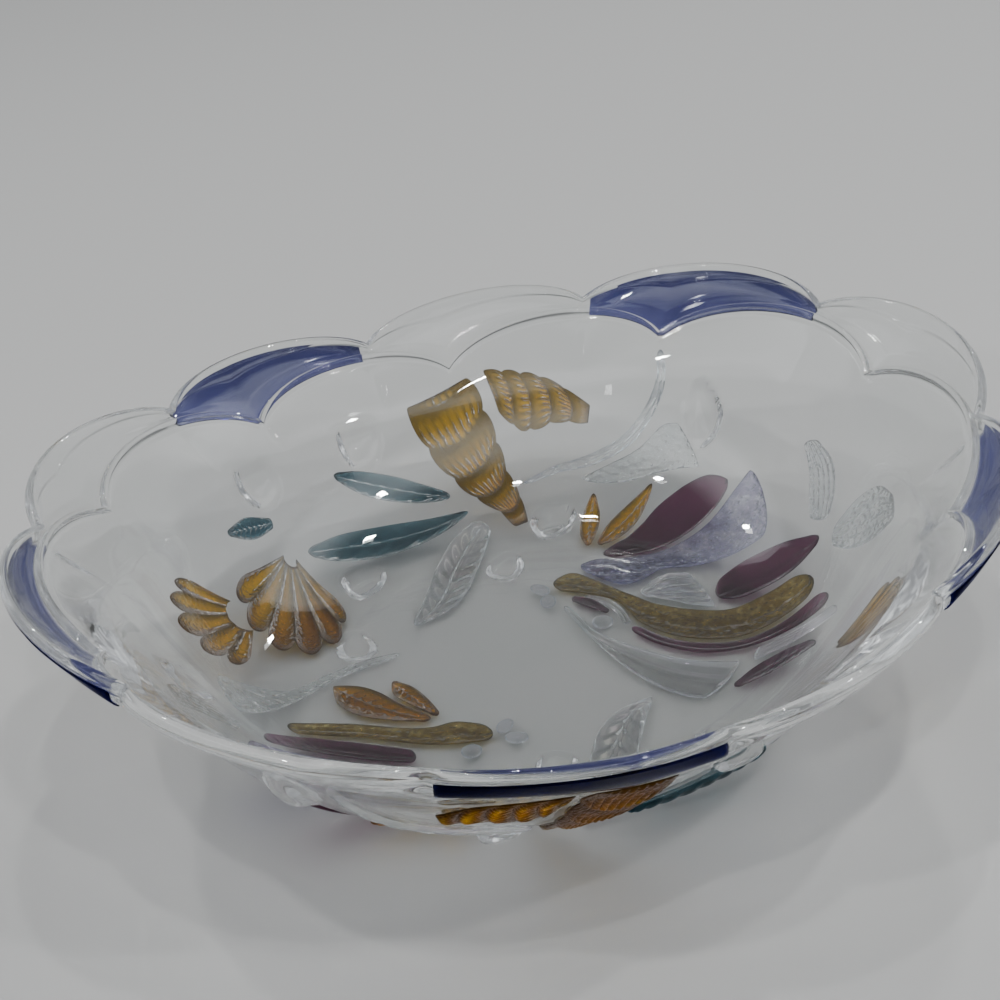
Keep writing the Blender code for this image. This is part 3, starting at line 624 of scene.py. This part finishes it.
# Round beads: name, stain, place in plan (radii), length and width (radii), heading (degrees).
BEADS = (
    ("fish_back_eye", "pearl_stain", (0.223, 0.046), 0.052, 0.050, 0),
    ("fish_back_lip_upper", "pearl_stain", (0.152, 0.246), 0.054, 0.036, 120),
    ("fish_back_lip_lower", "pearl_stain", (0.146, 0.190), 0.050, 0.040, 60),
    ("fish_front_eye", "pearl_stain", (-0.262, -0.240), 0.048, 0.044, 0),
    ("fish_front_lip_upper", "pearl_stain", (-0.158, -0.196), 0.050, 0.034, 30),
    ("fish_front_lip_lower", "pearl_stain", (-0.152, -0.246), 0.054, 0.036, 150),
)
BLUE_PETALS = range(1, PETALS, 2)


def relief_pieces():
    for motif, shapes in (("fish_back_", BACK_FISH), ("fish_front_", FRONT_FISH), ("", SINGLES)):
        for name, *shape in shapes:
            patch(motif + name, *shape)
    for name, *shape in PAIRED:
        patch(name + "_a", *shape)
        patch(name + "_b", *shape, side=-1.0)
    for name, *shape in FANS:
        fan(name, "amber_stain", *shape)
    for shape in BEADS:
        bead(*shape)


def petal_stain(petal):
    """The blue stain under one petal: a thin skin, deepest at the edge and at one end."""
    columns, rows = 60, 16
    near, far = 0.00015, 0.00060
    turns = petal + np.linspace(0.025, 0.975, columns)
    normal = petal_frame(turns)[3]
    upper, lower = [], []
    for share in np.linspace(0.03, 0.965, rows):
        back = petal_back(turns, share)
        upper.append(back - normal * near)
        lower.append(back - normal * far)
    name = f"petal_stain_{petal}"
    strength = np.linspace(0.25, 1.0, rows)[:, None] * np.linspace(0.45, 1.0, columns)[None, :]
    thing = closed_grid("fine_" + name, np.array(upper), np.array(lower), "blue_stain", strength)
    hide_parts(name)


# ------------------------------------------------------------------ materials
def new_material(name):
    """A material, its nodes and links, its shader, and the place on the piece."""
    made = bpy.data.materials.new(name)
    made.use_nodes = True
    nodes, links = made.node_tree.nodes, made.node_tree.links
    place = nodes.new("ShaderNodeTexCoord")
    return made, nodes, links, nodes["Principled BSDF"], place.outputs["Object"]


def noise(nodes, links, place, size, detail):
    made = nodes.new("ShaderNodeTexNoise")
    made.inputs["Scale"].default_value = 1 / size
    made.inputs["Detail"].default_value = detail
    links.new(place, made.inputs["Vector"])
    return made.outputs["Fac"]


def bump(nodes, links, height, strength, distance, before=None):
    made = nodes.new("ShaderNodeBump")
    made.inputs["Strength"].default_value = strength
    made.inputs["Distance"].default_value = distance
    links.new(height, made.inputs["Height"])
    if before:
        links.new(before, made.inputs["Normal"])
    return made.outputs["Normal"]


def ramp(nodes, links, value, stops):
    """Colours by a value; stops are pairs of a place from 0 to 1 and a colour."""
    made = nodes.new("ShaderNodeValToRGB")
    colours = made.color_ramp.elements
    while len(colours) < len(stops):
        colours.new(0.5)
    for stop, (position, colour) in zip(colours, stops):
        stop.position = position
        stop.color = (*colour, 1)
    links.new(value, made.inputs["Fac"])
    return made.outputs["Color"]


def glass(name, tints, patch=0.02, swell_stain_and_painted_light=0.0, roughness=0.05, lustre=0.0, stipple=0.0, grain=0.002,
          film=0.0, index=1.5):
    """Stained glass.  Its tint runs through tints by soft patches and, by a share set for each material,
    by how far the relief stands out (on the petals' skins, by how deep the stain is); where the light
    tints sit at the high end, as on amber and gold, this paints shade into the grooves and highlights
    onto the ridges.  It may have a lustre, a stippled face and an iridescent film.  index is the
    refractive index."""
    made, nodes, links, shader, place = new_material(name)
    shader.inputs["Transmission Weight"].default_value = 1.0
    shader.inputs["IOR"].default_value = index
    shader.inputs["Metallic"].default_value = lustre
    shader.inputs["Thin Film IOR"].default_value = 1.75
    shader.inputs["Specular Tint"].default_value = (*tints[-1][1], 1)
    patches = noise(nodes, links, place, patch, 3.0)
    strength = patches
    # Part of the tint follows swell: painted shade in the grooves and a painted highlight on the ridges
    # for amber and gold, the stain's depth for teal and the petals' blue.
    if swell_stain_and_painted_light:
        swell = nodes.new("ShaderNodeAttribute")
        swell.attribute_name = "swell"
        blend = nodes.new("ShaderNodeMix")
        blend.inputs["Factor"].default_value = swell_stain_and_painted_light
        links.new(patches, blend.inputs["A"])
        links.new(swell.outputs["Fac"], blend.inputs["B"])
        strength = blend.outputs["Result"]
    links.new(ramp(nodes, links, strength, tints), shader.inputs["Base Color"])
    haze = nodes.new("ShaderNodeMapRange")
    haze.inputs["To Min"].default_value = roughness * 0.5
    haze.inputs["To Max"].default_value = roughness * 1.5
    links.new(patches, haze.inputs["Value"])
    links.new(haze.outputs["Result"], shader.inputs["Roughness"])
    if film:
        drift = nodes.new("ShaderNodeMapRange")
        drift.inputs["To Min"].default_value = film * 0.75
        drift.inputs["To Max"].default_value = film * 1.35
        links.new(noise(nodes, links, place, 0.035, 1.0), drift.inputs["Value"])
        links.new(drift.outputs["Result"], shader.inputs["Thin Film Thickness"])
    normal = bump(nodes, links, noise(nodes, links, place, 0.016, 1.0), 0.12, 0.0006)
    if stipple:
        pits = nodes.new("ShaderNodeTexVoronoi")
        pits.feature = "SMOOTH_F1"
        pits.inputs["Scale"].default_value = 1 / grain
        links.new(place, pits.inputs["Vector"])
        normal = bump(nodes, links, pits.outputs["Distance"], stipple, grain * 0.6, normal)
    links.new(normal, shader.inputs["Normal"])
    return made


# Light crosses one face of a stain and shows the square root of its tint, so the tints are deep.
RECIPES = {
    "clear_glass": dict(tints=((0.3, (0.955, 0.975, 0.968)), (0.7, (0.985, 0.993, 0.990))), patch=0.05,
                        roughness=0.004),
    "blue_stain": dict(tints=((0.22, (0.026, 0.029, 0.21)), (0.45, (0.003, 0.0035, 0.060)),
                              (0.70, (0.0002, 0.0003, 0.013))), patch=0.03, swell_stain_and_painted_light=0.5, lustre=0.03,
                       index=1.08),
    # Amber: dark brown where the relief is low and bright amber where it stands high, painted shade in
    # the grooves and a painted highlight on the ridges and lips over the amber stain.
    "amber_stain": dict(tints=((0.15, (0.016, 0.007, 0.0001)), (0.45, (0.10, 0.040, 0.0002)),
                               (0.85, (0.74, 0.27, 0.0006))), patch=0.006, swell_stain_and_painted_light=0.8, lustre=0.22,
                        roughness=0.04, stipple=0.4, grain=0.0011),
    # Gold: a little lighter where the band stands highest, a faint painted highlight over the gold stain.
    "gold_stain": dict(tints=((0.30, (0.11, 0.055, 0.002)), (0.55, (0.25, 0.14, 0.010)),
                              (0.72, (0.70, 0.50, 0.10))), patch=0.0022, swell_stain_and_painted_light=0.15, lustre=0.22,
                       roughness=0.08, stipple=0.6, grain=0.0015),
    "plum_stain": dict(tints=((0.3, (0.030, 0.0015, 0.010)), (0.7, (0.09, 0.006, 0.035))),
                       patch=0.018, roughness=0.04, lustre=0.08),
    "teal_stain": dict(tints=((0.2, (0.12, 0.25, 0.30)), (0.45, (0.018, 0.07, 0.10)),
                              (0.75, (0.002, 0.016, 0.030))), patch=0.010, swell_stain_and_painted_light=0.5, lustre=0.08),
    "lilac_stain": dict(tints=((0.3, (0.12, 0.09, 0.28)), (0.5, (0.34, 0.30, 0.58)),
                               (0.72, (0.70, 0.67, 0.88))), patch=0.005, roughness=0.06,
                        lustre=0.20, stipple=1.0, grain=0.0018, film=380.0),
    "pearl_stain": dict(tints=((0.3, (0.80, 0.82, 0.87)), (0.7, (0.96, 0.96, 0.97))), patch=0.010,
                        lustre=0.20, film=420.0),
    "stippled_glass": dict(tints=((0.3, (0.78, 0.82, 0.85)), (0.7, (0.95, 0.96, 0.97))), patch=0.009,
                           roughness=0.06, lustre=0.06, stipple=1.0, grain=0.0016),
}
MATERIALS = {name: glass(name, **recipe) for name, recipe in RECIPES.items()}


# ------------------------------------------------------------------ stage, lights and camera
# The view: bowl turned under the camera, and the camera's own place and tilt (radians).
BOWL_TURN = radians(23.94)
ELEVATION, ROLL = 0.5581, 0.0639
YAW, PITCH = 0.0095, -0.0061
DISTANCE = 4.4714 * RADIUS
LENS, SENSOR = 71.45, 36       # mm
FLOOR_DROP = 0.0002            # the floor lies a hair below the feet
# A ring of small lamps: directions (degrees), then heights and reaches that repeat every four.
SPARK_ANGLES = (15, 62, 100, 148, 205, 250, 290, 335)
SPARK_HEIGHTS, SPARK_REACHES = (1.15, 0.75, 1.3, 0.95), (0.6, 0.95, 0.45, 0.8)
SPARK_SIZE, SPARK_POWER = 0.045, 2.8
# Brightness of the surroundings by height: a pale horizon, and a bright band for edges to catch.
SKY = ((0.0, (0.90, 0.92, 0.95)), (0.14, (0.38, 0.39, 0.41)), (0.30, (0.22, 0.23, 0.25)),
       (0.56, (0.22, 0.23, 0.25)), (0.62, (1.25, 1.29, 1.33)), (0.74, (1.25, 1.29, 1.33)),
       (0.84, (0.26, 0.27, 0.28)), (1.0, (0.24, 0.25, 0.26)))
# Light is led along inside the wall; fewer bounces leave dark patches in it.
BOUNCES = 64


def floor():
    """A pale floor that curves up into a plain backdrop far behind the bowl."""
    mesh = bpy.data.meshes.new("floor")
    half, depth, bend = 4.0, 2.2, 0.8
    profile = [(-3.0, 0.0), (depth, 0.0)]
    for step in range(1, 13):
        turn = radians(90 * step / 12)
        profile.append((depth + bend * sin(turn), bend * (1 - cos(turn))))
    profile.append((depth + bend, 4.0))
    points = [(x, y, z) for y, z in profile for x in (-half, half)]
    faces = [(2 * k, 2 * k + 1, 2 * k + 3, 2 * k + 2) for k in range(len(profile) - 1)]
    mesh.from_pydata(points, [], faces)
    mesh.shade_smooth()
    thing = bpy.data.objects.new("floor", mesh)
    bpy.context.collection.objects.link(thing)
    thing.rotation_euler = (0, 0, -BOWL_TURN)
    thing.location = (0, 0, -FLOOR_DROP)
    paint = bpy.data.materials.new("pale_floor")
    paint.use_nodes = True
    nodes, links = paint.node_tree.nodes, paint.node_tree.links
    shader = nodes["Principled BSDF"]
    shader.inputs["Roughness"].default_value = 0.7
    cloud = nodes.new("ShaderNodeTexNoise")
    cloud.inputs["Scale"].default_value = 6.0
    shade = nodes.new("ShaderNodeValToRGB")
    shade.color_ramp.elements[0].color = (0.36, 0.36, 0.355, 1)
    shade.color_ramp.elements[1].color = (0.41, 0.41, 0.405, 1)
    links.new(cloud.outputs["Fac"], shade.inputs["Fac"])
    links.new(shade.outputs["Color"], shader.inputs["Base Color"])
    mesh.materials.append(paint)


def turned(x, y, z):
    """A place given with -Y towards the camera, turned into the bowl's own frame."""
    return Vector((x, y, z)) @ Matrix.Rotation(BOWL_TURN, 3, "Z")


def spark(name, place, aim):
    """One small lamp that shines from place towards aim."""
    data = bpy.data.lights.new(name, "AREA")
    data.shape = "RECTANGLE"
    data.size, data.size_y = SPARK_SIZE, SPARK_SIZE
    data.energy = SPARK_POWER
    thing = bpy.data.objects.new(name, data)
    bpy.context.collection.objects.link(thing)
    thing.location = turned(*place)
    thing.rotation_euler = (turned(*aim) - thing.location).to_track_quat("-Z", "Y").to_euler()


def lights():
    """The ring of small lamps, for glints, and the surroundings."""
    middle = (0, 0, 0.04)
    for index, angle in enumerate(SPARK_ANGLES):
        height, reach = SPARK_HEIGHTS[index % 4], SPARK_REACHES[index % 4]
        place = (reach * cos(radians(angle)), reach * sin(radians(angle)), height)
        spark(f"spark_{index}", place, middle)
    world = bpy.data.worlds.new("studio")
    world.use_nodes = True
    nodes, links = world.node_tree.nodes, world.node_tree.links
    place = nodes.new("ShaderNodeTexCoord")
    split = nodes.new("ShaderNodeSeparateXYZ")
    links.new(place.outputs["Generated"], split.inputs["Vector"])
    shade = ramp(nodes, links, split.outputs["Z"], SKY)
    links.new(shade, nodes["Background"].inputs["Color"])
    nodes["Background"].inputs["Strength"].default_value = 1.0
    bpy.context.scene.world = world


def camera():
    data = bpy.data.cameras.new("camera")
    data.lens = LENS
    data.sensor_width = SENSOR
    thing = bpy.data.objects.new("camera", data)
    bpy.context.collection.objects.link(thing)
    place = Vector((0, -DISTANCE * cos(ELEVATION), DISTANCE * sin(ELEVATION)))
    forward = -place.normalized()
    right = Vector((1, 0, 0))
    up = right.cross(forward)
    swing = Matrix.Rotation(YAW, 3, up) @ Matrix.Rotation(PITCH, 3, right)
    forward, right, up = swing @ forward, swing @ right, swing @ up
    lean = Matrix.Rotation(ROLL, 3, forward)
    right, up = lean @ right, lean @ up
    turn = Matrix.Rotation(-BOWL_TURN, 3, "Z")
    pose = Matrix((turn @ right, turn @ up, turn @ -forward)).transposed().to_4x4()
    pose.translation = turn @ place + Vector((0, 0, RIM_HEIGHT))
    thing.matrix_world = pose
    bpy.context.scene.camera = thing


bowl()
relief_pieces()
for number in BLUE_PETALS:
    petal_stain(number)
floor()
lights()
camera()
bpy.context.scene.cycles.max_bounces = BOUNCES
bpy.context.scene.cycles.transmission_bounces = BOUNCES
bpy.context.scene.cycles.glossy_bounces = BOUNCES
